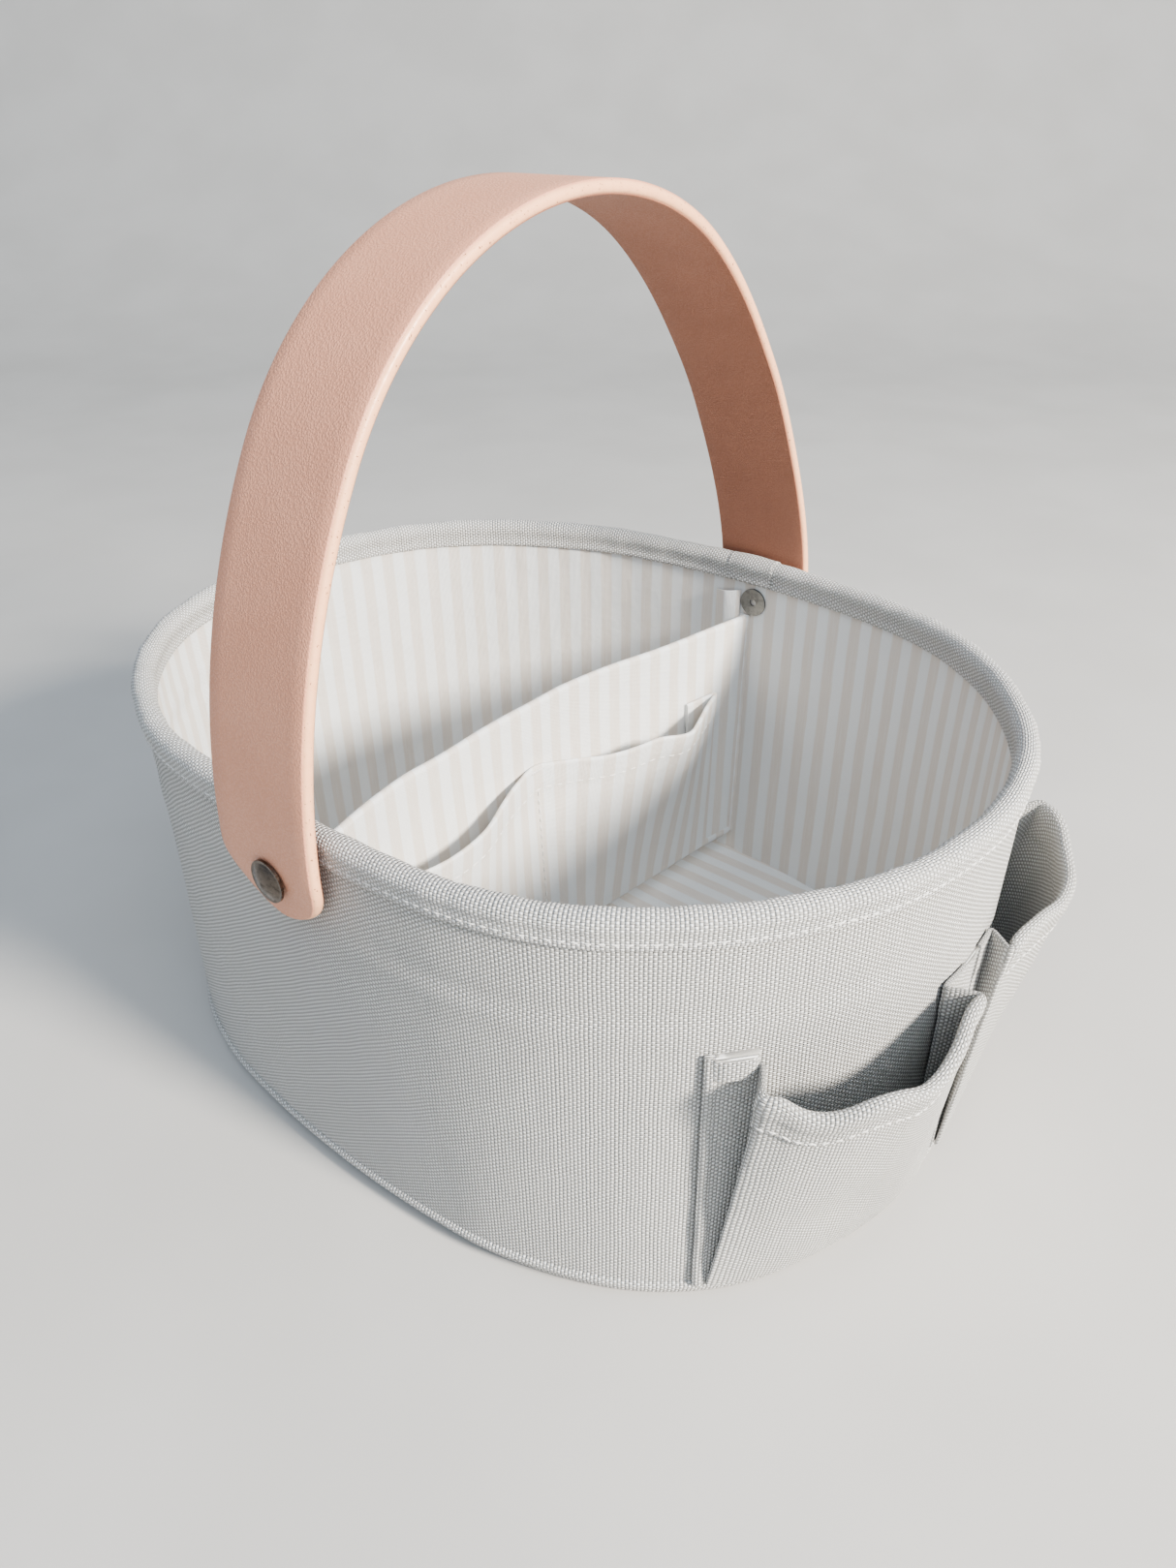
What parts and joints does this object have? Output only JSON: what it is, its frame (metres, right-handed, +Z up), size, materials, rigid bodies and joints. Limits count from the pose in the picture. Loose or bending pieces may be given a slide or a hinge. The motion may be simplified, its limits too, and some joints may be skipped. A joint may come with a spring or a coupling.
{
  "type": "divided fabric tool caddy",
  "caption": "Oval stiffened-canvas caddy with a rolled rim, striped lining, sewn divider with a slip pocket, bellows pockets on one end and a riveted strap handle.",
  "frame": {"origin": "on the floor, in the middle of the base oval", "axes": "+X towards the end with the outer pockets, +Y towards the side with the binding's end, +Z up"},
  "size_m": [0.3182, 0.2542, 0.283],
  "materials": {
    "canvas": "coarse duck weave, matte",
    "binding_canvas": "coarse duck weave cut on the cross, matte",
    "striped_lining": "plain weave cotton with pale beige stripes",
    "board": "stiff plastic board, matte",
    "core_cord": "round plastic cord, matte",
    "strap_outer": "fine pebble grain, satin",
    "strap_edge": "painted edge, satin",
    "strap_inner": "smooth, matte",
    "rivet_metal": "dark antique, polished",
    "washer_metal": "grey, matte"
  },
  "bodies": {
    "basket": {"outer_wall": "canvas", "wall_stiffener": "board", "lining_wall": "striped_lining", "base_canvas": "canvas", "base_board": "board", "lining_floor": "striped_lining", "base_piping": "canvas", "rim_core": "core_cord", "rim_binding": "binding_canvas", "binding_lap": "binding_canvas", "divider_board": "board", "divider_cover": "striped_lining", "divider_seam_front": "striped_lining", "divider_seam_rear": "striped_lining", "divider_pocket": "striped_lining", "divider_pocket_hem": "striped_lining", "pocket_front": "canvas", "pocket_rear": "canvas", "pocket_hem_front": "canvas", "pocket_hem_rear": "canvas", "pocket_flange_front": "canvas", "pocket_flange_rear": "canvas", "pocket_seam_front": "canvas", "pocket_seam_rear": "canvas", "pocket_centre_strip": "canvas", "rivet_posts": "rivet_metal", "rivet_caps": "rivet_metal", "inner_washers": "washer_metal"},
    "handle": {"handle_outer_skin": "strap_outer", "handle_core": "strap_edge", "handle_inner_skin": "strap_inner"}
  },
  "joints": [
    {"name": "handle_swing", "type": "hinge", "parent": "basket", "child": "handle", "pos_m": [0.005, 0, 0.125], "axis": [0, 1, 0], "range_deg": [-28, 35]}
  ]
}
